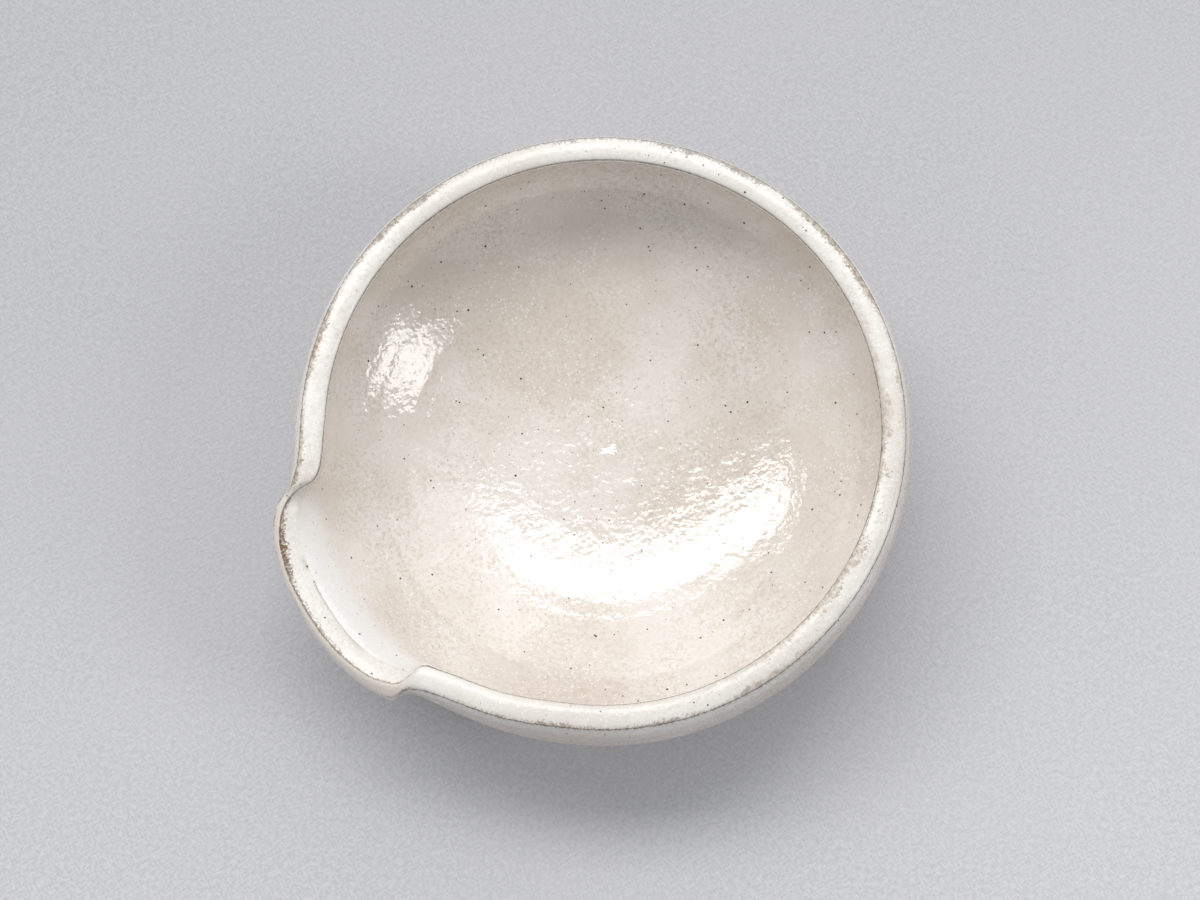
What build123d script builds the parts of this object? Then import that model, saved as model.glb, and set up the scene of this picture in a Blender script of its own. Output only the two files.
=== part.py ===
from build123d import *
import math
import os

os.makedirs("parts", exist_ok=True)

# Hand-thrown pouring bowl: one clay body with a wide spout pulled out of its wall, a
# turned foot ring, and three glaze coats laid over the clay.  Sizes in millimetres.
# Origin: centre of the foot ring's resting face.  +Z up, spout towards -X.

# Heights above the table
rim_height = 54.0        # top of the glazed rim
foot_height = 7.0        # underside of the bowl floor
glaze_line = 11.0        # lower edge of the outer glaze
dip_line = 48.0          # lower edge of the rim glaze, inside and outside

# Thickness of every glaze coat, set off both sideways and upwards from the clay inside
glaze_coat = 0.35

# Foot ring
foot_outer_top = 32.5
foot_outer_base = 31.0
foot_inner_base = 26.0
foot_inner_top = 25.0
foot_edge_break = 0.9

# Pulled spout: how far round the rim it reaches and how crisp its two ends are
spout_half_angle = 20.6  # degrees each side of the spout's centre line
spout_crown = 0.17       # the arch drops by this share towards its ends
crisp_notch = 26         # end on the -Y side, folded sharply
soft_notch = 17          # end on the +Y side, folded more gently

# Outer wall over the glaze, carried past the rim: radius, height, extra reach at the
# spout's centre line
outer_wall = [
    (29.0, 6.0, 0.0),
    (38.0, 8.3, 0.0),
    (47.0, 11.3, 0.0),
    (56.0, 15.4, 0.0),
    (64.5, 20.7, 0.0),
    (71.0, 26.3, 0.4),
    (75.6, 32.0, 1.9),
    (77.8, 37.6, 5.0),
    (78.0, 42.4, 8.4),
    (77.2, 46.8, 10.8),
    (76.2, 50.2, 10.9),
    (75.1, 52.8, 10.2),
    (74.2, 54.2, 9.7),
    (72.8, 55.4, 9.2),
]

# Inner wall over the glaze, from the floor to past the rim: the same three values
inner_wall = [
    (8.0, 13.6, 0.0),
    (18.0, 13.9, 0.0),
    (32.0, 15.1, 0.0),
    (44.5, 17.9, 0.0),
    (55.0, 22.4, 0.0),
    (63.2, 27.8, 0.0),
    (68.6, 33.0, 0.5),
    (71.1, 37.6, 1.8),
    (71.6, 41.6, 3.8),
    (71.1, 45.2, 6.1),
    (70.4, 48.0, 10.5),
    (69.8, 50.0, 16.2),
    (69.4, 51.6, 20.6),
    (69.3, 52.8, 23.6),
    (69.8, 53.7, 25.6),
    (71.0, 54.5, 27.0),
    (74.0, 56.0, 29.5),
]

# Directions in which every level's outline is set, in degrees from the spout's centre line
side_turns = [4, 8, 12, 15, 17, 18.5, 19.7, 20.8, 22, 23.5, 26, 30, 38, 52, 70, 90, 110, 130, 150, 165]
all_turns = [180] + [-turn for turn in reversed(side_turns)] + [0] + side_turns


def spout_arch(turn):
    """Share of the spout's full reach in one direction; positive turns lie towards -Y."""
    notch = crisp_notch if turn > 0 else soft_notch
    share = abs(turn) / spout_half_angle
    crown = 1 - spout_crown * min(share, 1.0) ** 2
    return crown / (1 + share**notch)


def level_outline(radius, reach):
    """Points of the closed outline of one level."""
    points = []
    for turn in all_turns:
        distance = radius + reach * spout_arch(turn)
        direction = math.radians(180 + turn)
        points.append((distance * math.cos(direction), distance * math.sin(direction)))
    return points


def wall_under_outer_glaze(wall, coat):
    """The outer wall moved inwards by the coat, square to its own surface."""
    moved = []
    for index, (radius, height, reach) in enumerate(wall):
        before = wall[max(index - 1, 0)]
        after = wall[min(index + 1, len(wall) - 1)]
        run = after[0] - before[0]
        rise = after[1] - before[1]
        slope = math.hypot(run, rise)
        moved.append((radius - coat * rise / slope, height + coat * run / slope, reach))
    return moved


def wall_under_inner_glaze(wall, coat):
    """The inner wall moved into the clay by the coat, outwards and down by the same step."""
    return [(radius + coat, height - coat, reach) for radius, height, reach in wall]


def stacked_form(wall, top):
    """Solid lofted through the closed outlines of a wall, lowest first, cut level at the top."""
    with BuildPart() as form:
        for radius, height, reach in wall:
            with BuildSketch(Plane.XY.offset(height)):
                with BuildLine():
                    Spline(*level_outline(radius, reach), periodic=True)
                make_face()
        loft()
        split(bisect_by=Plane.XY.offset(top), keep=Keep.BOTTOM)
    return form.part


# Four solid forms: outside and hollow of the bowl, with the glaze and without it
glazed_form = stacked_form(outer_wall, rim_height)
glazed_hollow = stacked_form(inner_wall, rim_height + 1)
clay_form = stacked_form(wall_under_outer_glaze(outer_wall, glaze_coat), rim_height - glaze_coat)
clay_hollow = stacked_form(wall_under_inner_glaze(inner_wall, glaze_coat), rim_height + 1)

# The clay body: floor, wall and spout in one
with BuildPart() as thrown_body:
    add(clay_form)
    add(clay_hollow, mode=Mode.SUBTRACT)
    split(bisect_by=Plane.XY.offset(foot_height), keep=Keep.TOP)
thrown_body.part.label = "thrown_body"
export_step(thrown_body.part, "parts/thrown_body.step")

# The foot ring, left as bare clay, that the bowl stands on
with BuildPart() as foot_ring:
    with BuildSketch(Plane.XZ) as foot_section:
        with BuildLine() as foot_outline:
            Polyline(
                (foot_inner_top, foot_height),
                (foot_inner_base, 0),
                (foot_outer_base, 0),
                (foot_outer_top, foot_height),
                close=True,
            )
        make_face()
    revolve(axis=Axis.Z)
    fillet(foot_ring.edges().group_by(Axis.Z)[0], radius=foot_edge_break)
foot_ring.part.label = "foot_ring"
export_step(foot_ring.part, "parts/foot_ring.step")

# The glaze inside the bowl, up to the dip line
with BuildPart() as inner_glaze:
    add(clay_hollow)
    split(bisect_by=Plane.XY.offset(dip_line), keep=Keep.BOTTOM)
    add(glazed_hollow, mode=Mode.SUBTRACT)
inner_glaze.part.label = "inner_glaze"
export_step(inner_glaze.part, "parts/inner_glaze.step")

# The second coat over the rim and the spout's edge, above the dip line
with BuildPart() as rim_glaze:
    add(glazed_form)
    add(glazed_hollow, mode=Mode.SUBTRACT)
    add(thrown_body.part, mode=Mode.SUBTRACT)
    split(bisect_by=Plane.XY.offset(dip_line), keep=Keep.TOP)
rim_glaze.part.label = "rim_glaze"
export_step(rim_glaze.part, "parts/rim_glaze.step")

# The glaze on the outside, from its lower edge to the dip line
with BuildPart() as outer_glaze:
    add(glazed_form)
    add(clay_form, mode=Mode.SUBTRACT)
    split(bisect_by=Plane.XY.offset(glaze_line), keep=Keep.TOP)
    split(bisect_by=Plane.XY.offset(dip_line), keep=Keep.BOTTOM)
outer_glaze.part.label = "outer_glaze"
export_step(outer_glaze.part, "parts/outer_glaze.step")
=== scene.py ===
import math

import bpy
import numpy as np
from mathutils import Matrix, Vector


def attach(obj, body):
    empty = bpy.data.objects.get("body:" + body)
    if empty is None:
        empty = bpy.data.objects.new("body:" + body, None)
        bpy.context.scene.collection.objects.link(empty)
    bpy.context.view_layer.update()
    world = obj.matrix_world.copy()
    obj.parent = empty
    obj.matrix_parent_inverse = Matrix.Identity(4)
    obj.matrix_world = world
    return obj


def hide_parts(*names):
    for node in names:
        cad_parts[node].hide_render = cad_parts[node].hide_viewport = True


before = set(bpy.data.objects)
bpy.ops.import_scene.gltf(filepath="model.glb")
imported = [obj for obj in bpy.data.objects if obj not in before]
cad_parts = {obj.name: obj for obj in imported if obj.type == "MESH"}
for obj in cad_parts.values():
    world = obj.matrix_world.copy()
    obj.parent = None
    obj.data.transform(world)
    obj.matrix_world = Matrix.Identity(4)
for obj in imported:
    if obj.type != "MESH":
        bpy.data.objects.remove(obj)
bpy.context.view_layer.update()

# Lengths are millimetres and turns are degrees until a mesh is made. MM turns lengths into metres.
MM = 0.001
RIM_HEIGHT = 54.0
DIP_LINE = 48.0  # height at which the rim's glaze meets the other two
GLAZE_LINE = 11.0  # height at which the outer glaze ends, above the foot
COAT = 0.36  # from a glaze's seen face to its hidden one
CLAY_INSET = 0.33  # from the glaze's seen face to the clay, so that the coat's back lies in the clay
CREASE_RADIUS = 80.6  # from the axis to the fine line under the lip

# ---------------------------------------------------------------- sections of the bowl
# A closed run of stations in a plane through the bowl's axis: (radius, height).
# "round" is the bowl away from the spout, "spout" is the section along the spout's centre.
LOWER_OUTSIDE = [(33.2, 7.0), (42.5, 9.7), (51.5, 13.2), (60.0, 17.7)]
LOWER_INSIDE = [(63.2, 27.8), (55.0, 22.4), (44.5, 17.9), (32.0, 15.1), (17.0, 13.8), (0.0, 13.6)]
OUTER_ROUND = LOWER_OUTSIDE + [
    (67.2, 22.8), (72.8, 28.4), (76.2, 33.4), (77.7, 38.0), (77.8, 42.0), (77.2, 46.2), (76.3, 49.6),
    (75.3, 52.2),
]
BAND_ROUND = [(74.7, 53.1), (73.7, 53.6), (71.9, 53.8), (70.2, 53.6), (69.2, 53.1)]
INNER_ROUND = [
    (68.8, 52.2), (69.7, 49.2), (70.9, 45.4), (71.4, 41.4), (70.9, 37.2), (68.4, 32.7),
] + LOWER_INSIDE
OUTER_SPOUT = LOWER_OUTSIDE + [
    (67.4, 22.7), (73.8, 28.0), (78.4, 32.4), (81.8, 36.3), (84.3, 39.6), (86.0, 42.2), (86.9, 44.0),
    (87.3, 45.4),
]
BAND_SPOUT = [(87.65, 46.4), (87.7, 47.4), (87.35, 48.4), (86.85, 49.2), (86.2, 49.6)]
INNER_SPOUT = [
    (85.3, 49.5), (81.9, 48.6), (78.2, 46.2), (75.2, 42.8), (72.4, 38.2), (68.6, 32.9),
] + LOWER_INSIDE
OUT_N = len(OUTER_ROUND)
BAND_N = len(BAND_ROUND)
# mesh rows between one station and the next: outer wall, rim band, upper and lower inner wall
ROWS_BETWEEN = [8] * (OUT_N - 1) + [5] * (BAND_N + 1) + [7] * 5 + [12] * 6
# stations at the rim's outer corner, in the middle of its band and at its inner corner
OUTER_CORNER = OUT_N - 0.2
RIM_MIDDLE = OUT_N + BAND_N / 2
INNER_CORNER = OUT_N + BAND_N - 0.8

# Share of the spout's reach round the rim: (degrees from the spout's centre line, share).
# Positive turns lie towards -Y, where the fold is sharp.
INNER_EDGE_SHARE = [
    (-60, 0.0), (-36, 0.0), (-27.4, 0.04), (-22.9, 0.12), (-21.1, 0.23), (-20.3, 0.45),
    (-18.7, 0.66), (-15.7, 0.83), (-11.5, 0.94), (-4, 1.0), (4.3, 1.0), (12.6, 0.93),
    (18.3, 0.77), (19.8, 0.67), (20.6, 0.47), (21.3, 0.27), (24.3, 0.19), (29.3, 0.12),
    (37, 0.07), (50, 0.0), (60, 0.0),
]
OUTER_EDGE_SHARE = [
    (-60, 0.0), (-34, 0.0), (-29, 0.02), (-24.7, 0.1), (-22.4, 0.2), (-20.7, 0.33),
    (-19, 0.6), (-14.9, 0.83), (-8.2, 0.95), (-1, 1.0), (4.3, 1.0), (11.8, 0.97),
    (19.3, 0.84), (20.4, 0.79), (21.2, 0.55), (22.4, 0.40), (25, 0.27), (30, 0.16),
    (38, 0.09), (52, 0.0), (60, 0.0),
]
DEEP_HALF_WIDTH = 19.5  # half the turn over which the wall below the rim swells towards the spout

# mesh columns: (up to this turn from the spout's middle, step from one column to the next)
SPOUT_MIDDLE = -0.2
COLUMN_STEPS = [(16, 0.6), (25, 0.22), (34, 0.45), (181, 0.9)]

# unevenness of the upper wall: (size, waves round the bowl, phase)
SWAY = [(0.10, 2, 0.6), (0.07, 3, 2.2), (0.035, 7, 1.0)]
LIFT = [(0.09, 2, 2.4), (0.05, 5, 0.4), (0.03, 11, 0.0)]
# spiral lines: (size, length of wall for one radian, turns of the spiral, phase)
THROWING_RINGS = [(0.070, 1.25, 1, 0.0), (0.045, 0.72, 2, 0.8)]
TURNING_LINES = [(0.06, 0.75, 1, 0.0), (0.07, 1.9, 2, 0.0)]
NICK_DEPTH = 0.55
CREASE_DEPTH = 0.16
FLOOR_CENTRE = (1.4, -0.9)  # where the mark left at the floor's centre lies


def steady(table, at):
    """Monotone cubic through a table of (place, value)."""
    x, y = np.array(table, float).T
    step = np.diff(x)
    slope = np.diff(y) / step
    same = slope[:-1] * slope[1:] > 0
    w1 = (2 * step[1:] + step[:-1])[same]
    w2 = (step[1:] + 2 * step[:-1])[same]
    tangent = np.zeros_like(x)
    tangent[1:-1][same] = (w1 + w2) / (w1 / slope[:-1][same] + w2 / slope[1:][same])
    at = np.clip(at, x[0], x[-1])
    i = np.clip(np.searchsorted(x, at) - 1, 0, len(x) - 2)
    t = (at - x[i]) / step[i]
    h00 = 2 * t**3 - 3 * t**2 + 1
    h10 = t**3 - 2 * t**2 + t
    h01 = -2 * t**3 + 3 * t**2
    h11 = t**3 - t**2
    return h00 * y[i] + h10 * step[i] * tangent[i] + h01 * y[i + 1] + h11 * step[i] * tangent[i + 1]


def soft_step(low, high, value):
    """0 at low, 1 at high and level at both ends. Low can be the larger one."""
    t = np.clip((value - low) / (high - low), 0.0, 1.0)
    return t * t * (3 - 2 * t)


def hump(middle, width, value):
    """A smooth bump, 1 at its middle."""
    return np.exp(-(((value - middle) / width) ** 2))


def turn_columns():
    """Directions of the mesh columns, closest where the rim folds into the spout."""
    turns = []
    turn = -180.0
    while turn < 180.0:
        turns.append(turn)
        from_middle = abs(turn - SPOUT_MIDDLE)
        turn += next(step for limit, step in COLUMN_STEPS if from_middle < limit)
    past_start = np.array(turns) + 180
    return past_start * 360 / (turn + 180) - 180


TURNS = turn_columns()
ANGLES = np.radians(180 + TURNS)
COLUMNS = len(TURNS)


def spline_through(points, count_between):
    """Natural cubic spline through stations, for every column at once.
    points: stations x columns x 2.  Returns rows x columns x 2 and each row's station number."""
    n = len(points)
    chord = np.linalg.norm(np.diff(points, axis=0), axis=2).mean(axis=1) ** 0.75
    knots = np.concatenate([[0], np.cumsum(chord)])
    h = np.diff(knots)
    system = np.zeros((n, n))
    right = np.zeros((n,) + points.shape[1:])
    system[0, 0] = 1
    system[-1, -1] = 1
    for k in range(1, n - 1):
        system[k, k - 1] = h[k - 1]
        system[k, k] = 2 * (h[k - 1] + h[k])
        system[k, k + 1] = h[k]
        right[k] = 6 * ((points[k + 1] - points[k]) / h[k] - (points[k] - points[k - 1]) / h[k - 1])
    second = np.linalg.solve(system, right.reshape(n, -1)).reshape(right.shape)
    rows = []
    stations = []
    for k in range(n - 1):
        count = count_between[k]
        for j in range(count):
            v = h[k] * j / count
            u = h[k] - v
            rows.append(
                second[k] * u**3 / (6 * h[k]) + second[k + 1] * v**3 / (6 * h[k])
                + (points[k] / h[k] - second[k] * h[k] / 6) * u
                + (points[k + 1] / h[k] - second[k + 1] * h[k] / 6) * v
            )
            stations.append(k + j / count)
    rows.append(points[-1])
    stations.append(n - 1)
    return np.array(rows), np.array(stations)


def spout_reach(station, share_out, share_in, deep):
    """How far each column goes from the round section towards the spout's, at one station."""
    if station < OUT_N:
        mix = station / (OUT_N - 1)
        return share_out * mix**2 + deep * (1 - mix**2)
    if station < OUT_N + BAND_N:
        mix = (station - OUT_N + 1) / (BAND_N + 1)
        return share_out * (1 - mix) + share_in * mix
    mix = (station - OUT_N - BAND_N) / (len(INNER_ROUND) - 1)
    keep = np.clip(1 - 3.2 * mix, 0, 1)
    return share_in * keep + deep * (1 - keep)


def bowl_rows():
    """The whole glazed surface from the foot, over the rim, to the centre of the floor."""
    round_run = np.array(OUTER_ROUND + BAND_ROUND + INNER_ROUND)
    spout_run = np.array(OUTER_SPOUT + BAND_SPOUT + INNER_SPOUT)
    share_in = steady(INNER_EDGE_SHARE, TURNS)
    share_out = steady(OUTER_EDGE_SHARE, TURNS)
    deep = 1 / (1 + (np.abs(TURNS) / DEEP_HALF_WIDTH) ** 5)
    points = np.zeros((len(round_run), COLUMNS, 2))
    for k, (at_round, at_spout) in enumerate(zip(round_run, spout_run)):
        reach = spout_reach(k, share_out, share_in, deep)
        drop = soft_step(0.05, 1.0, reach)
        points[k, :, 0] = at_round[0] + reach * (at_spout[0] - at_round[0])
        points[k, :, 1] = at_round[1] + drop * (at_spout[1] - at_round[1])
    return spline_through(points, ROWS_BETWEEN)


ROWS, STATIONS = bowl_rows()
ROW_STATION = STATIONS[:, None]


def grid_normals(points):
    """Outward unit normals of the full grid, so that pieces cut from it shade without a seam."""
    along = np.gradient(points, axis=0)
    around = (np.roll(points, -1, axis=1) - np.roll(points, 1, axis=1)) / 2
    normal = np.cross(around, along)
    length = np.linalg.norm(normal, axis=2, keepdims=True)
    upward = np.array([0.0, 0.0, 1.0])
    normal = np.where(length > 1e-9, normal / np.maximum(length, 1e-9), upward)
    normal[-1] = upward
    return normal


def waves(table):
    """Slow waves round the bowl."""
    return sum(size * np.sin(count * ANGLES[None, :] + phase) for size, count, phase in table)


def spiral(arc, table):
    """Spiral lines, arc being the length of wall from the foot."""
    return sum(size * np.sin(arc / length + turns * ANGLES[None, :] + phase)
               for size, length, turns, phase in table)


def uneven_rows():
    """The rows with the slow unevenness of throwing and the small nick in the lip's edge."""
    rows = ROWS.copy()
    high = np.clip(ROWS[..., 1] / RIM_HEIGHT, 0, 1) ** 2
    rows[..., 0] += high * waves(SWAY)
    rows[..., 1] += high * waves(LIFT)
    nick = soft_step(-4.4, -3.6, TURNS) * soft_step(3.5, -3.4, TURNS)
    rows[..., 0] -= NICK_DEPTH * nick[None, :] * hump(OUT_N + 0.5, 1.8, ROW_STATION)
    return rows


def surface_relief():
    """Height of throwing rings inside and of turning lines outside, for each point of the grid."""
    steps = np.linalg.norm(np.diff(ROWS[:, 0], axis=0), axis=1)
    arc = np.concatenate([[0], np.cumsum(steps)])[:, None]
    radius = ROWS[..., 0]
    inside = soft_step(RIM_MIDDLE + 5.5, RIM_MIDDLE + 8.0, ROW_STATION)
    outside = soft_step(1.0, 2.5, ROW_STATION) * (1 - soft_step(OUT_N - 3.5, OUT_N - 1.5, ROW_STATION))
    uneven = 0.65 + 0.35 * np.sin(arc / 9.0 + 3 * ANGLES[None, :])
    fainter_floor = (0.45 + 0.55 * soft_step(30, 60, radius)) * soft_step(4.0, 14.0, radius)
    rings = spiral(arc, THROWING_RINGS) * uneven * fainter_floor
    return inside * rings + outside * spiral(arc, TURNING_LINES)


def crease_share(points):
    """Where the folded clay of the spout left a fine line under the lip, 0 to 1."""
    long_line = soft_step(-4.2, -2.6, TURNS) * soft_step(12.0, 8.5, TURNS)
    short_line = 0.7 * soft_step(-8.6, -7.8, TURNS) * soft_step(-5.6, -6.4, TURNS)
    swing = CREASE_RADIUS + 0.0022 * (TURNS - 4) ** 2
    radius = np.hypot(points[..., 0], points[..., 1])
    return hump(swing[None, :], 0.30, radius) * (long_line + short_line)[None, :]


def floor_mark(points):
    """The low button and the shallow ring round it that the thrower's finger left on the floor."""
    reach = np.hypot(points[..., 0] - FLOOR_CENTRE[0], points[..., 1] - FLOOR_CENTRE[1])
    return 0.18 * hump(0, 1.6, reach) - 0.10 * hump(3.6, 1.3, reach)


def shaped_points():
    """Every point of the grid."""
    rows = uneven_rows()
    points = np.stack([rows[..., 0] * np.cos(ANGLES), rows[..., 0] * np.sin(ANGLES), rows[..., 1]], axis=-1)
    normal = grid_normals(points)
    inside = ROW_STATION > RIM_MIDDLE
    points = points + normal * surface_relief()[..., None]
    points = points - normal * (CREASE_DEPTH * crease_share(points) * inside)[..., None]
    points[..., 2] += floor_mark(points) * inside
    return points


POINTS = shaped_points()
NORMALS = grid_normals(POINTS)


# ---------------------------------------------------------------- cutting the grid into pieces
def crossing(height, outside):
    """Row number, with its fraction, at which each column passes a height on one side of the rim."""
    z = POINTS[..., 2]
    places = np.zeros(COLUMNS)
    for c in range(COLUMNS):
        over = np.nonzero(z[:, c] >= height)[0]
        low = over[0] - 1 if outside else over[-1]
        places[c] = low + (height - z[low, c]) / (z[low + 1, c] - z[low, c])
    return places


def take(field, places):
    """Values of a rows x columns field at fractional row numbers."""
    low = np.clip(np.floor(places).astype(int), 0, len(field) - 2)
    share = places - low
    columns = np.arange(COLUMNS)[None, :]
    if field.ndim == 3:
        share = share[..., None]
    return field[low, columns] * (1 - share) + field[low + 1, columns] * share


def between_rows(start, end, count):
    part = np.linspace(0, 1, count)[:, None]
    return start[None, :] * (1 - part) + end[None, :] * part


def edge_distances():
    """Distances along the section from the rim's outer and inner corners, growing inwards."""
    steps = np.linalg.norm(np.diff(POINTS, axis=0), axis=2)
    arc = np.concatenate([np.zeros((1, COLUMNS)), np.cumsum(steps, axis=0)])
    outer_row = int(np.argmin(np.abs(STATIONS - OUTER_CORNER)))
    inner_row = int(np.argmin(np.abs(STATIONS - INNER_CORNER)))
    return arc - arc[outer_row], arc - arc[inner_row]


def surface_marks():
    """Fields the glazes read: distances from the rim's corners, and places where the glaze changes."""
    from_outer, from_inner = edge_distances()
    everywhere = np.ones_like(from_outer)
    share = steady(OUTER_EDGE_SHARE, TURNS)[None, :]
    high = soft_step(34.0, 47.0, POINTS[..., 2])
    inside = ROW_STATION > OUT_N + 1.0
    on_band = soft_step(-0.3, 0.3, from_outer) * soft_step(0.3, -0.3, from_inner)
    return {
        "from_outer": np.clip(from_outer, -30, 30),
        "from_inner": np.clip(from_inner, -30, 30),
        "spout": share * high * inside,
        "lip": on_band * soft_step(0.3, 0.9, share),
        "inward": soft_step(OUT_N + 1.0, OUT_N + 4.0, ROW_STATION) * everywhere,
        "rust": (hump(-11.5, 7.0, TURNS) + 0.35 * hump(2, 10.0, TURNS)) * everywhere,
        # painted reflection and shade: grey on the rim's corner on the far side
        "far_grey_reflection_shade": hump(-120, 40.0, TURNS) * everywhere,
        "inner_break": hump(125, 42.0, TURNS) * everywhere,
        "crease": crease_share(POINTS) * inside,
    }


def placed(name, data):
    made = bpy.data.objects.new(name, data)
    bpy.context.scene.collection.objects.link(made)
    return made


def ring_faces(here, above, here_is_point, above_is_point):
    """Faces between two neighbouring rows of vertex numbers, one of which can be a single point."""
    right = np.roll(here, -1)
    above_right = np.roll(above, -1)
    if above_is_point:
        return np.stack([here, right, above], axis=1)
    if here_is_point:
        return np.stack([here, above_right, above], axis=1)
    return np.stack([here, right, above_right, above], axis=1)


def flat_normals(points, faces):
    across = points[faces[:, 2]] - points[faces[:, 0]]
    other = points[faces[:, -1]] - points[faces[:, 1]]
    wall = np.cross(across, other)
    wall = wall / np.maximum(np.linalg.norm(wall, axis=1, keepdims=True), 1e-9)
    return np.repeat(wall[:, None, :], faces.shape[1], axis=1)


def mesh_object(name, rows, normals, marks, wall_rows, centre_rows=()):
    """A closed mesh from rows of points round the axis. Each row joins the next, the last the first.
    wall_rows: rows after which the faces are a flat wall, shaded by their own normals.
    centre_rows: rows that are one point on the axis."""
    total = len(rows)
    points = rows.reshape(-1, 3)
    number = np.arange(total * COLUMNS).reshape(total, COLUMNS)
    for r in centre_rows:
        number[r] = number[r, 0]
    corners = []
    corner_normals = []
    for r in range(total):
        n = (r + 1) % total
        if r in centre_rows and n in centre_rows:
            continue
        faces = ring_faces(number[r], number[n], r in centre_rows, n in centre_rows)
        shade = flat_normals(points, faces) if r in wall_rows else normals.reshape(-1, 3)[faces]
        corners.extend(faces.tolist())
        corner_normals.append(shade.reshape(-1, 3))
    used = np.unique(number)
    renumber = np.zeros(total * COLUMNS, int)
    renumber[used] = np.arange(len(used))
    corners = [[int(renumber[v]) for v in face] for face in corners]
    mesh = bpy.data.meshes.new(name)
    mesh.from_pydata((points[used] * MM).tolist(), [], corners)
    mesh.polygons.foreach_set("use_smooth", [True] * len(mesh.polygons))
    for key, values in marks.items():
        layer = mesh.attributes.new(key, "FLOAT", "POINT")
        layer.data.foreach_set("value", values.reshape(-1)[used].astype(np.float32))
    mesh.update()
    mesh.normals_split_custom_set(np.concatenate(corner_normals).tolist())
    return placed(name, mesh)


def glaze_shell(name, start, end, front_count, back_count, to_centre=False):
    """A coat of glaze: the seen surface and, COAT deeper, the face that lies on the clay."""
    front = between_rows(start, end, front_count)
    back = between_rows(end, start, back_count)
    seen = take(POINTS, front)
    hidden_normals = take(NORMALS, back)
    hidden = take(POINTS, back) - COAT * hidden_normals
    last_seen = front_count - 1
    walls = [front_count + back_count - 1]
    centres = ()
    if to_centre:
        seen[-1] = seen[-1].mean(axis=0)
        hidden[0] = seen[-1, 0] - (0, 0, COAT)
        centres = (last_seen, front_count)
    else:
        walls.append(last_seen)
    places = np.concatenate([front, back])
    marks = {key: take(field, places) for key, field in MARKS.items()}
    rows = np.concatenate([seen, hidden])
    normals = np.concatenate([take(NORMALS, front), -hidden_normals])
    return mesh_object(name, rows, normals, marks, walls, centres)


MARKS = surface_marks()
FIRST_ROW = np.zeros(COLUMNS)
LAST_ROW = np.full(COLUMNS, len(ROWS) - 1.0)
bare_end = crossing(GLAZE_LINE, True)
dip_outside = crossing(DIP_LINE, True)
dip_inside = crossing(DIP_LINE, False)

# the two numbers are the rows of the seen face and of the hidden one
outer_glaze = glaze_shell("outer_glaze_coat", bare_end, dip_outside, 86, 22)
rim_glaze = glaze_shell("rim_glaze_coat", dip_outside, dip_inside, 46, 16)
inner_glaze = glaze_shell("inner_glaze_coat", dip_inside, LAST_ROW, 104, 36, True)

# ---------------------------------------------------------------- clay and foot
CLAY_ROWS = 112
UNDERSIDE_HEIGHT = 7.35
UNDERSIDE_RADII = [0.0, 4.0, 9.0, 14.0, 18.0, 21.0, 23.0, 24.6, 26.0, 29.0, 31.5]
RECESS_RINGS = 8  # how many of those radii lie inside the foot ring
# (radius, height, rounding) of the foot ring's section
FOOT_CORNERS = [(32.9, 7.6, 0.0), (31.3, 0.0, 1.1), (26.0, 0.0, 0.9), (25.0, 7.6, 0.0)]
FOOT_COLUMNS = 256
FOOT_STEP = 0.45  # length aimed at between points of that section


def underside_rows():
    """The turned underside within the foot ring, from the axis outwards, with its turning marks."""
    rows = []
    for k, radius in enumerate(UNDERSIDE_RADII):
        swirl = 0.05 * math.sin(k * 2.1) + 0.04 * np.sin(ANGLES + k)
        height = UNDERSIDE_HEIGHT - 0.25 * (radius / 25) ** 2 + swirl * (0 < k < RECESS_RINGS)
        rows.append(np.stack([radius * np.cos(ANGLES), radius * np.sin(ANGLES), height], axis=1))
    return np.array(rows)


def clay_body():
    """The thrown clay under the glazes, closed below by the turned underside."""
    places = between_rows(FIRST_ROW, LAST_ROW, CLAY_ROWS)
    normals = take(NORMALS, places)
    rows = take(POINTS, places) - CLAY_INSET * normals
    rows[-1] = rows[-1].mean(axis=0)
    under = underside_rows()
    down = np.zeros_like(under)
    down[..., 2] = -1
    all_rows = np.concatenate([rows, under])
    all_normals = np.concatenate([normals, down])
    centres = (CLAY_ROWS - 1, CLAY_ROWS)
    return mesh_object("thrown_clay", all_rows, all_normals, {}, [len(all_rows) - 1], centres)


def rounded_section(corners):
    """A closed section with its rounded corners drawn as short curves."""
    run = []
    for k, (x, y, rounding) in enumerate(corners):
        if rounding == 0:
            run.append((x, y))
            continue
        here = np.array((x, y))
        before = np.array(corners[k - 1][:2]) - here
        after = np.array(corners[k + 1][:2]) - here
        a = here + before / np.linalg.norm(before) * rounding
        b = here + after / np.linalg.norm(after) * rounding
        for t in np.linspace(0, 1, 8):
            run.append(tuple((1 - t) ** 2 * a + 2 * t * (1 - t) * here + t**2 * b))
    return run


def foot_profile():
    """The foot ring's section in short steps, with fine turned ridges on its sides."""
    run = rounded_section(FOOT_CORNERS)
    profile = []
    for k, (x, y) in enumerate(run):
        next_x, next_y = run[(k + 1) % len(run)]
        pieces = max(1, int(math.hypot(next_x - x, next_y - y) / FOOT_STEP))
        for j in range(pieces):
            radius = x + (next_x - x) * j / pieces
            height = y + (next_y - y) * j / pieces
            ridge = 0.05 * math.sin(height * 3.1) * (1.2 < height < 6.5)
            profile.append((radius + ridge, height))
    return profile


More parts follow.
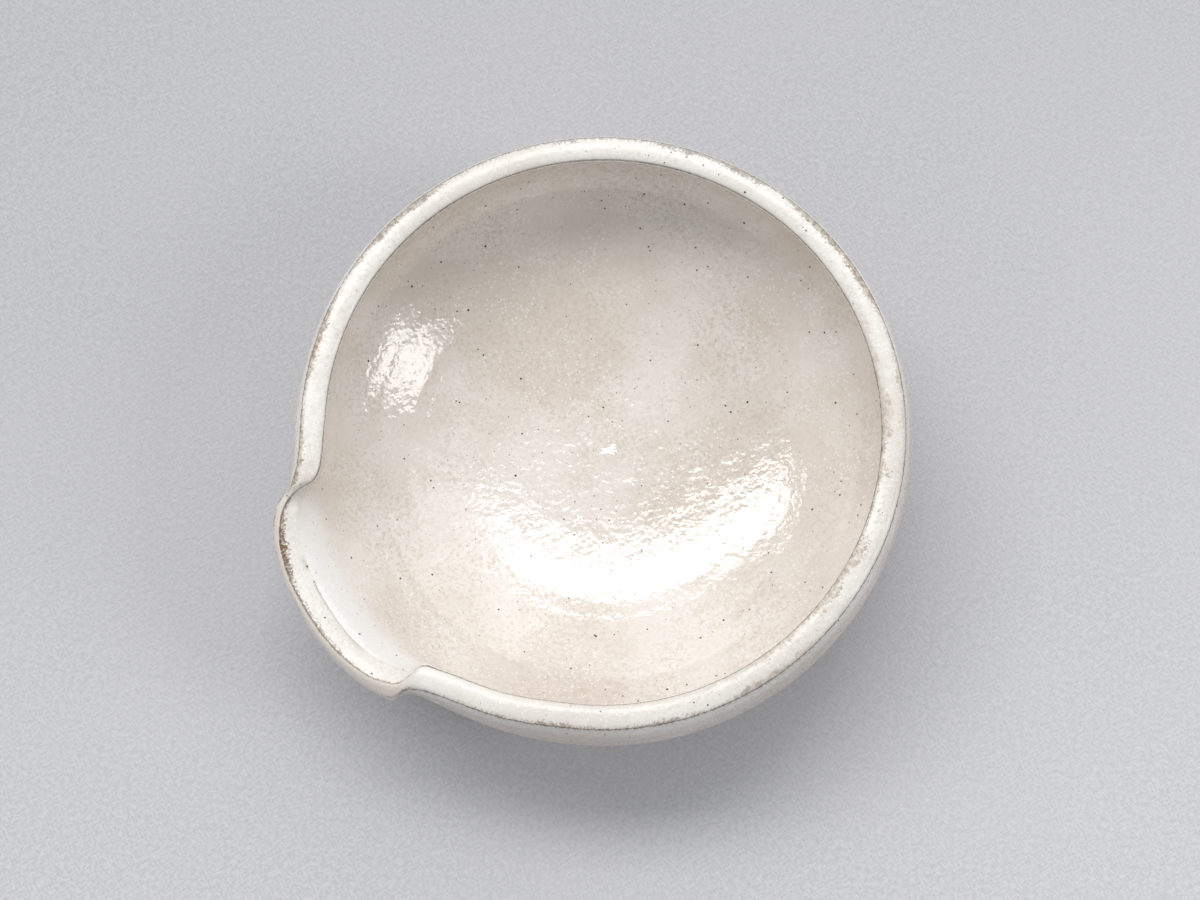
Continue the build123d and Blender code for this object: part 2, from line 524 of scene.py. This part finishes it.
def turned_ring(name, profile):
    """A closed ring turned round the bowl's axis from a closed profile of (radius, height)."""
    angle = np.linspace(0, 2 * math.pi, FOOT_COLUMNS, endpoint=False)
    rows = []
    for k, (radius, height) in enumerate(profile):
        reach = radius + 0.05 * np.sin(2 * angle + 1) + 0.03 * np.sin(5 * angle + k * 0.2)
        rows.append(np.stack([reach * np.cos(angle), reach * np.sin(angle), height + 0 * angle], axis=1))
    points = np.array(rows).reshape(-1, 3)
    number = np.arange(len(points)).reshape(len(profile), FOOT_COLUMNS)
    above = np.roll(number, -1, axis=0)
    faces = np.stack([number, above, np.roll(above, -1, axis=1), np.roll(number, -1, axis=1)], axis=-1)
    mesh = bpy.data.meshes.new(name)
    mesh.from_pydata((points * MM).tolist(), [], faces.reshape(-1, 4).tolist())
    mesh.polygons.foreach_set("use_smooth", [True] * len(mesh.polygons))
    mesh.set_sharp_from_angle(angle=math.radians(50))
    return placed(name, mesh)


body_clay = clay_body()
foot = turned_ring("turned_foot", foot_profile())

# ---------------------------------------------------------------- materials
# Here lengths are metres, as shader coordinates are, and noise scales are per metre. The marks on the
# meshes and the sizes of specks stay millimetres.
# Tones of a glaze: main, over thin places, flecks.
INNER_TONES = [(0.825, 0.780, 0.735, 1), (0.635, 0.555, 0.475, 1), (0.92, 0.895, 0.85, 1)]
RIM_TONES = [(0.825, 0.812, 0.778, 1), (0.690, 0.640, 0.570, 1), (0.91, 0.895, 0.865, 1)]
OUTER_TONES = [(0.715, 0.660, 0.600, 1), (0.600, 0.530, 0.455, 1), (0.85, 0.81, 0.745, 1)]
POOLED_WHITE = (0.88, 0.88, 0.868, 1)
LIP_TAN = (0.66, 0.60, 0.53, 1)
BREAK_DARK = (0.30, 0.235, 0.18, 1)
BREAK_LIGHT = (0.60, 0.53, 0.45, 1)
# painted reflection and shade on the rim's far side
PAINTED_FAR_GREY = (0.33, 0.32, 0.31, 1)
# thin glaze at the rim's corners, with painted shade at the inner one
CORNER_BROWN = (0.115, 0.085, 0.065, 1)
RUST = (0.17, 0.088, 0.045, 1)
# painted shade in the crease under the lip
CREASE_SHADE = (0.22, 0.19, 0.16, 1)
TURNED_SHADE = (0.48, 0.40, 0.32, 1)
GLAZE_END_BROWN = (0.40, 0.29, 0.20, 1)
FINE_IRON = (0.24, 0.16, 0.105, 1)
LARGE_IRON = (0.026, 0.018, 0.014, 1)
BODY_CLAY_TONES = [(0.50, 0.37, 0.26, 1), (0.36, 0.25, 0.17, 1)]
FOOT_CLAY_TONES = [(0.47, 0.34, 0.235, 1), (0.34, 0.235, 0.155, 1)]
CLOTH_TONES = [(0.560, 0.568, 0.597, 1), (0.652, 0.658, 0.690, 1)]
CLOTH_CLOUD = (0.650, 0.650, 0.672, 1)
BLACK = (0.0, 0.0, 0.0, 1)
GLAZE_IOR = 1.5


def feed(tree, socket, value):
    """Links a socket to another node's output, or sets it to a constant."""
    if isinstance(value, bpy.types.NodeSocket):
        tree.links.new(value, socket)
    else:
        socket.default_value = value


def node(tree, kind, inputs=None, **settings):
    made = tree.nodes.new("ShaderNode" + kind)
    for key, value in settings.items():
        setattr(made, key, value)
    for key, value in (inputs or {}).items():
        feed(tree, made.inputs[key], value)
    return made


def start_material(name):
    material = bpy.data.materials.new(name)
    material.use_nodes = True
    tree = material.node_tree
    tree.nodes.clear()
    body = node(tree, "BsdfPrincipled")
    node(tree, "OutputMaterial", {"Surface": body.outputs["BSDF"]})
    place = node(tree, "TexCoord").outputs["Object"]
    return material, tree, body, place


def noise(tree, place, scale, detail=2.0, rough=0.5):
    made = node(tree, "TexNoise", {"Vector": place, "Scale": scale, "Detail": detail, "Roughness": rough})
    return made.outputs["Fac"]


def ranged(tree, value, low, high, to_low=0.0, to_high=1.0):
    made = node(tree, "MapRange", {0: value, 1: low, 2: high, 3: to_low, 4: to_high},
                interpolation_type="SMOOTHSTEP")
    return made.outputs["Result"]


def blend(tree, share, first, second):
    made = node(tree, "Mix", {0: share, 6: first, 7: second}, data_type="RGBA")
    return made.outputs[2]


def maths(tree, operation, first, second=0.0):
    made = node(tree, "Math", {0: first, 1: second}, operation=operation)
    return made.outputs["Value"]


def plus(tree, first, second):
    return maths(tree, "ADD", first, second)


def minus(tree, first, second):
    return maths(tree, "SUBTRACT", first, second)


def times(tree, first, second):
    return maths(tree, "MULTIPLY", first, second)


def tinted(tree, colour, share, strength, tint):
    """A colour turned towards a tint where a share is high."""
    return blend(tree, times(tree, share, strength), colour, tint)


def mark(tree, name):
    return node(tree, "Attribute", attribute_name=name).outputs["Fac"]


def height_of(tree, place):
    return node(tree, "SeparateXYZ", {"Vector": place}).outputs["Z"]


def stretched(tree, place, scale):
    return node(tree, "Mapping", {"Vector": place, "Scale": scale}).outputs["Vector"]


def cells(tree, place, per_metre, channel):
    """Random cells: the distance from each cell's centre and a random number of its own."""
    made = node(tree, "TexVoronoi", {"Vector": place, "Scale": per_metre, "Randomness": 1.0})
    chance = node(tree, "SeparateColor", {"Color": made.outputs["Color"]}).outputs[channel]
    return made.outputs["Distance"], chance


def specks(tree, place, per_metre, smallest, growth):
    """Round specks of varied size at random places. Sizes are in millimetres."""
    distance, chance = cells(tree, place, per_metre, 0)
    cell = 1 / (per_metre * MM)
    size = times(tree, maths(tree, "POWER", chance, 3.0), growth / cell)
    size = plus(tree, size, smallest / cell)
    return ranged(tree, maths(tree, "DIVIDE", distance, size), 1.15, 0.75)


def surfaced(tree, body, colour, rough, height, depth):
    """Sets colour, roughness and a bump that is depth metres deep where height goes from 0 to 1."""
    feed(tree, body.inputs["Base Color"], colour)
    feed(tree, body.inputs["Roughness"], rough)
    bump = node(tree, "Bump", {"Height": height, "Distance": depth, "Strength": 1.0})
    feed(tree, body.inputs["Normal"], bump.outputs["Normal"])


def peel(tree, place, fine, fine_detail, coarse, coarse_weight):
    """Orange-peel waviness of a glaze from two sizes of noise."""
    coarse_part = times(tree, noise(tree, place, coarse, 1.0), coarse_weight)
    return plus(tree, noise(tree, place, fine, fine_detail), coarse_part)


def glaze_colour(tree, place, warm, deep, pale):
    """Mottled milky glaze over iron-bearing clay, before its specks."""
    clouds = ranged(tree, noise(tree, place, 30, 3.0, 0.55), 0.38, 0.66)
    colour = tinted(tree, warm, clouds, 0.55, deep)
    mottle = ranged(tree, noise(tree, place, 900, 3.0, 0.7), 0.46, 0.62)
    depth = ranged(tree, noise(tree, place, 45, 2.0), 0.35, 0.62, 0.22, 0.70)
    colour = tinted(tree, colour, mottle, depth, deep)
    distance, chance = cells(tree, place, 1050, 1)
    dots = ranged(tree, minus(tree, distance, times(tree, chance, 0.40)), 0.14, -0.08)
    drift = ranged(tree, noise(tree, place, 70, 2.0), 0.38, 0.60, 0.1, 1.0)
    return tinted(tree, colour, times(tree, dots, drift), 0.60, pale)


def with_iron(tree, place, colour):
    colour = tinted(tree, colour, specks(tree, place, 620, 0.08, 0.14), 0.60, FINE_IRON)
    return tinted(tree, colour, specks(tree, place, 400, 0.12, 0.22), 0.95, LARGE_IRON)


def inner_material():
    material, tree, body, place = start_material("milky_glaze_inside")
    colour = glaze_colour(tree, place, *INNER_TONES)
    colour = tinted(tree, colour, mark(tree, "spout"), 0.85, POOLED_WHITE)
    colour = with_iron(tree, place, colour)
    rough = ranged(tree, noise(tree, place, 300, 2.0), 0.3, 0.7, 0.08, 0.15)
    surfaced(tree, body, colour, rough, peel(tree, place, 780, 1.0, 260, 1.6), 0.00009)
    body.inputs["IOR"].default_value = GLAZE_IOR
    body.inputs["Specular IOR Level"].default_value = 1.0
    return material


def rim_palette(tree, place):
    """The rim's tones. Towards the dip line its coat thins, raggedly, into the one below."""
    drips = times(tree, minus(tree, noise(tree, place, 160, 4.0, 0.65), 0.5), 0.0045)
    under = ranged(tree, plus(tree, height_of(tree, place), drips), 0.0512, 0.0486)
    under = times(tree, under, ranged(tree, mark(tree, "spout"), 0.35, 0.0))
    palette = []
    for over, inside, outside in zip(RIM_TONES, INNER_TONES, OUTER_TONES):
        below = blend(tree, mark(tree, "inward"), outside, inside)
        palette.append(blend(tree, under, over, below))
    return palette


def break_tone(tree, place):
    """Tan to brown of thin glaze over the clay, greyed on the far side by painted reflection and shade."""
    mixed = ranged(tree, noise(tree, place, 900, 2.0), 0.40, 0.60)
    tone = blend(tree, mixed, BREAK_DARK, BREAK_LIGHT)
    return tinted(tree, tone, mark(tree, "far_grey_reflection_shade"), 0.8, PAINTED_FAR_GREY)


def corner_line(tree, colour, distance, grit, wander, wide, narrow):
    """A fine dark line along one corner of the rim: thin glaze at the outer corner, and at the inner corner
    thin glaze with painted shade.
    """
    off_line = maths(tree, "ABSOLUTE", plus(tree, distance, times(tree, grit, wander)))
    return tinted(tree, colour, ranged(tree, off_line, wide, narrow), 0.72, CORNER_BROWN)


def outer_corner(tree, colour, tone, grit, patches):
    """From the outer corner the thin glaze breaks to brown, raggedly, over a varying width."""
    outer = mark(tree, "from_outer")
    ragged = plus(tree, outer, times(tree, grit, 4.0))
    # the break runs wider on the far side, to hold its painted grey reflection and shade
    width = plus(tree, times(tree, patches, 1.5), times(tree, mark(tree, "far_grey_reflection_shade"), 0.35))
    broken = times(tree, ranged(tree, minus(tree, ragged, width), 0.60, 0.05),
                   ranged(tree, ragged, -0.55, -0.15))
    broken = times(tree, broken, ranged(tree, patches, 0.0, 1.0, 0.66, 0.92))
    weaker = ranged(tree, mark(tree, "inner_break"), 0.0, 1.0, 1.0, 0.25)
    colour = tinted(tree, colour, broken, weaker, tone)
    return corner_line(tree, colour, outer, grit, 0.7, 0.26, 0.10)


def beside_inner_corner(tree, place, colour, tone, grit, patches):
    """Ragged breaks on the bowl's side of the inner corner, rusty along part of the lip."""
    inner = mark(tree, "from_inner")
    rust = mark(tree, "rust")
    ragged = plus(tree, inner, times(tree, grit, 3.6))
    width = plus(tree, times(tree, patches, 0.5), times(tree, rust, 1.1))
    beside = times(tree, ranged(tree, minus(tree, ragged, width), 0.35, -0.15),
                   ranged(tree, inner, -0.25, 0.05))
    colour = tinted(tree, colour, beside, 0.62, tone)
    gaps = ranged(tree, noise(tree, place, 1250, 2.0), 0.40, 0.56, 0.25, 0.95)
    return tinted(tree, colour, beside, times(tree, rust, gaps), RUST)


def on_inner_corner(tree, place, colour, tone, grit):
    """On the +X side the glaze also breaks on the rim's side of the inner corner."""
    inner = mark(tree, "from_inner")
    patches = ranged(tree, noise(tree, place, 62, 3.0, 0.65), 0.43, 0.60)
    width = plus(tree, times(tree, patches, 2.3), 0.55)
    ragged = plus(tree, inner, times(tree, grit, 4.4))
    on_rim = times(tree, ranged(tree, plus(tree, ragged, width), -0.10, 0.45),
                   ranged(tree, ragged, 0.50, 0.10))
    on_rim = times(tree, on_rim, mark(tree, "inner_break"))
    colour = tinted(tree, colour, on_rim, 0.74, tone)
    # this line runs all round just inside the inner corner: partly thin glaze, partly painted shade under
    # the rim's overhang
    return corner_line(tree, colour, minus(tree, inner, 0.30), grit, 0.6, 0.24, 0.09)


def rim_material():
    material, tree, body, place = start_material("milky_glaze_rim")
    colour = glaze_colour(tree, place, *rim_palette(tree, place))
    colour = with_iron(tree, place, colour)
    colour = tinted(tree, colour, mark(tree, "lip"), 0.65, LIP_TAN)
    grit = minus(tree, noise(tree, place, 1500, 2.0), 0.5)
    patches = ranged(tree, noise(tree, place, 48, 3.0, 0.6), 0.39, 0.63)
    tone = break_tone(tree, place)
    colour = outer_corner(tree, colour, tone, grit, patches)
    colour = beside_inner_corner(tree, place, colour, tone, grit, patches)
    colour = on_inner_corner(tree, place, colour, tone, grit)
    # painted shade in the fine crease under the lip, broken up by grit
    fold = ranged(tree, grit, -0.25, 0.15, 0.55, 1.0)
    colour = tinted(tree, colour, mark(tree, "crease"), fold, CREASE_SHADE)
    rough = ranged(tree, noise(tree, place, 350, 2.0), 0.3, 0.7, 0.20, 0.34)
    surfaced(tree, body, colour, rough, peel(tree, place, 900, 2.0, 300, 1.2), 0.00006)
    body.inputs["IOR"].default_value = GLAZE_IOR
    return material


def outer_material():
    material, tree, body, place = start_material("milky_glaze_outside")
    colour = glaze_colour(tree, place, *OUTER_TONES)
    lines = ranged(tree, noise(tree, stretched(tree, place, (0.15, 0.15, 1.0)), 620, 2.0), 0.52, 0.72)
    colour = tinted(tree, colour, lines, 0.20, TURNED_SHADE)
    thin = ranged(tree, height_of(tree, place), 0.0135, 0.0108)
    colour = tinted(tree, colour, thin, 0.6, GLAZE_END_BROWN)
    colour = with_iron(tree, place, colour)
    rough = ranged(tree, noise(tree, place, 300, 2.0), 0.3, 0.7, 0.24, 0.38)
    height = plus(tree, noise(tree, place, 700, 2.0), times(tree, lines, 1.1))
    surfaced(tree, body, colour, rough, height, 0.00006)
    body.inputs["IOR"].default_value = GLAZE_IOR
    return material


def clay_material(name, light, dark):
    material, tree, body, place = start_material(name)
    colour = blend(tree, ranged(tree, noise(tree, place, 60, 3.0, 0.6), 0.35, 0.65), light, dark)
    sand = ranged(tree, noise(tree, place, 1900, 2.0), 0.52, 0.68)
    colour = tinted(tree, colour, sand, 0.45, dark)
    colour = with_iron(tree, place, colour)
    rough = ranged(tree, sand, 0.0, 1.0, 0.74, 0.90)
    height = plus(tree, noise(tree, place, 1500, 3.0), times(tree, sand, 0.5))
    surfaced(tree, body, colour, rough, height, 0.00010)
    return material


def cloth_material():
    """Finely woven pale cloth, with painted shade that darkens it slowly towards the far side."""
    material, tree, body, place = start_material("pale_cloth")
    along = noise(tree, stretched(tree, place, (1.0, 0.35, 1.0)), 1700, 1.0)
    across = noise(tree, stretched(tree, place, (0.35, 1.0, 1.0)), 1700, 1.0)
    weave = plus(tree, along, across)
    colour = blend(tree, ranged(tree, weave, 0.75, 1.25), *CLOTH_TONES)
    clouds = ranged(tree, noise(tree, place, 9, 2.0), 0.35, 0.65)
    colour = tinted(tree, colour, clouds, 0.35, CLOTH_CLOUD)
    # painted shade: the cloth darkens slowly towards the far side
    far = node(tree, "VectorMath", {0: place, 1: (0.30, 0.954, 0.0)}, operation="DOT_PRODUCT")
    painted_shade = ranged(tree, far.outputs["Value"], -0.20, 0.20)
    colour = tinted(tree, colour, painted_shade, 0.20, BLACK)
    surfaced(tree, body, colour, 0.9, weave, 0.00012)
    body.inputs["Specular IOR Level"].default_value = 0.2
    return material


# piece, its material, the CAD node it stands for, the material slot
finishes = [
    (outer_glaze, outer_material(), "outer_glaze", "outer_glaze"),
    (rim_glaze, rim_material(), "rim_glaze", "rim_glaze"),
    (inner_glaze, inner_material(), "inner_glaze", "inner_glaze"),
    (body_clay, clay_material("stoneware_clay", *BODY_CLAY_TONES), "thrown_body", "stoneware_clay"),
    (foot, clay_material("bare_foot_clay", *FOOT_CLAY_TONES), "foot_ring", "bare_foot_clay"),
]
for piece, material, cad_node, slot_name in finishes:
    piece.data.materials.append(material)
    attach(piece, "root")
    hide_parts(cad_node)

# ---------------------------------------------------------------- floor, camera and light, in metres
FLOOR_HALF = 9
floor_mesh = bpy.data.meshes.new("floor")
floor_corners = [(x * FLOOR_HALF, y * FLOOR_HALF, 0) for x, y in ((-1, -1), (1, -1), (1, 1), (-1, 1))]
floor_mesh.from_pydata(floor_corners, [], [(0, 1, 2, 3)])
floor_mesh.materials.append(cloth_material())
floor = placed("floor", floor_mesh)

# the camera looks at the rim's middle from the photograph's side, shifted a little in its own plane
CAMERA_AZIMUTH = math.radians(-32.2)
CAMERA_ELEVATION = math.radians(78.5)
CAMERA_DISTANCE = 0.494
CAMERA_DOWN = 0.0064
CAMERA_LEFT = 0.0008
CAMERA_TARGET = Vector((0, 0, 0.0535))
LIGHT_TARGET = Vector((0, 0, 0.03))
UPWARD = Vector((0, 0, 1))
side = Vector((math.cos(CAMERA_AZIMUTH), math.sin(CAMERA_AZIMUTH), 0))
away = UPWARD.cross(side)
back = UPWARD * math.sin(CAMERA_ELEVATION) - away * math.cos(CAMERA_ELEVATION)
up = back.cross(side)
scene = bpy.context.scene


def stood(x_axis, y_axis, z_axis, spot):
    """The matrix of an object whose own axes point along three directions."""
    columns = Matrix((x_axis, y_axis, z_axis)).transposed().to_4x4()
    return Matrix.Translation(spot) @ columns


camera_data = bpy.data.cameras.new("camera")
camera_data.lens = 60
camera_data.sensor_width = 36
camera_data.clip_start = 0.01
camera = placed("camera", camera_data)
camera_spot = CAMERA_TARGET + back * CAMERA_DISTANCE - up * CAMERA_DOWN - side * CAMERA_LEFT
camera.matrix_world = stood(side, up, back, camera_spot)
scene.camera = camera


def window(name, bearing, height, distance, width, tall, power, colour, along=None):
    """A soft area light aimed at the bowl. bearing: degrees clockwise from the camera's far side.
    along: the direction of its width, level and across the light's own direction if not given."""
    turn = math.radians(bearing)
    rise = math.radians(height)
    level = away * math.cos(turn) + side * math.sin(turn)
    direction = level * math.cos(rise) + UPWARD * math.sin(rise)
    data = bpy.data.lights.new(name, "AREA")
    data.shape = "RECTANGLE"
    data.size = width
    data.size_y = tall
    data.energy = power
    data.color = colour
    across = (along or UPWARD.cross(direction)).normalized()
    across = (across - direction * across.dot(direction)).normalized()
    spot = LIGHT_TARGET + direction * distance
    placed(name, data).matrix_world = stood(across, direction.cross(across), direction, spot)


# the first window gives the crescent on the bowl's floor, the third the highlight on its left wall
WARM_WHITE = (1.0, 0.985, 0.965)
window("window_far", -27, 62.0, 4.0, 3.9, 1.05, 84, WARM_WHITE, side)
window("ceiling_far", 8, 44, 4.0, 6.0, 3.8, 66, WARM_WHITE)
window("window_right", 100, 38, 2.4, 0.66, 1.0, 11, (1.0, 0.99, 0.98))
window("wall_left", -95, 28, 3.0, 4.5, 2.6, 18, (1.0, 0.985, 0.97))

world = bpy.data.worlds.new("room")
world.use_nodes = True
sky = world.node_tree.nodes["Background"]
sky.inputs["Color"].default_value = (0.94, 0.96, 1.0, 1)
sky.inputs["Strength"].default_value = 0.34
scene.world = world
scene.view_settings.view_transform = "Standard"
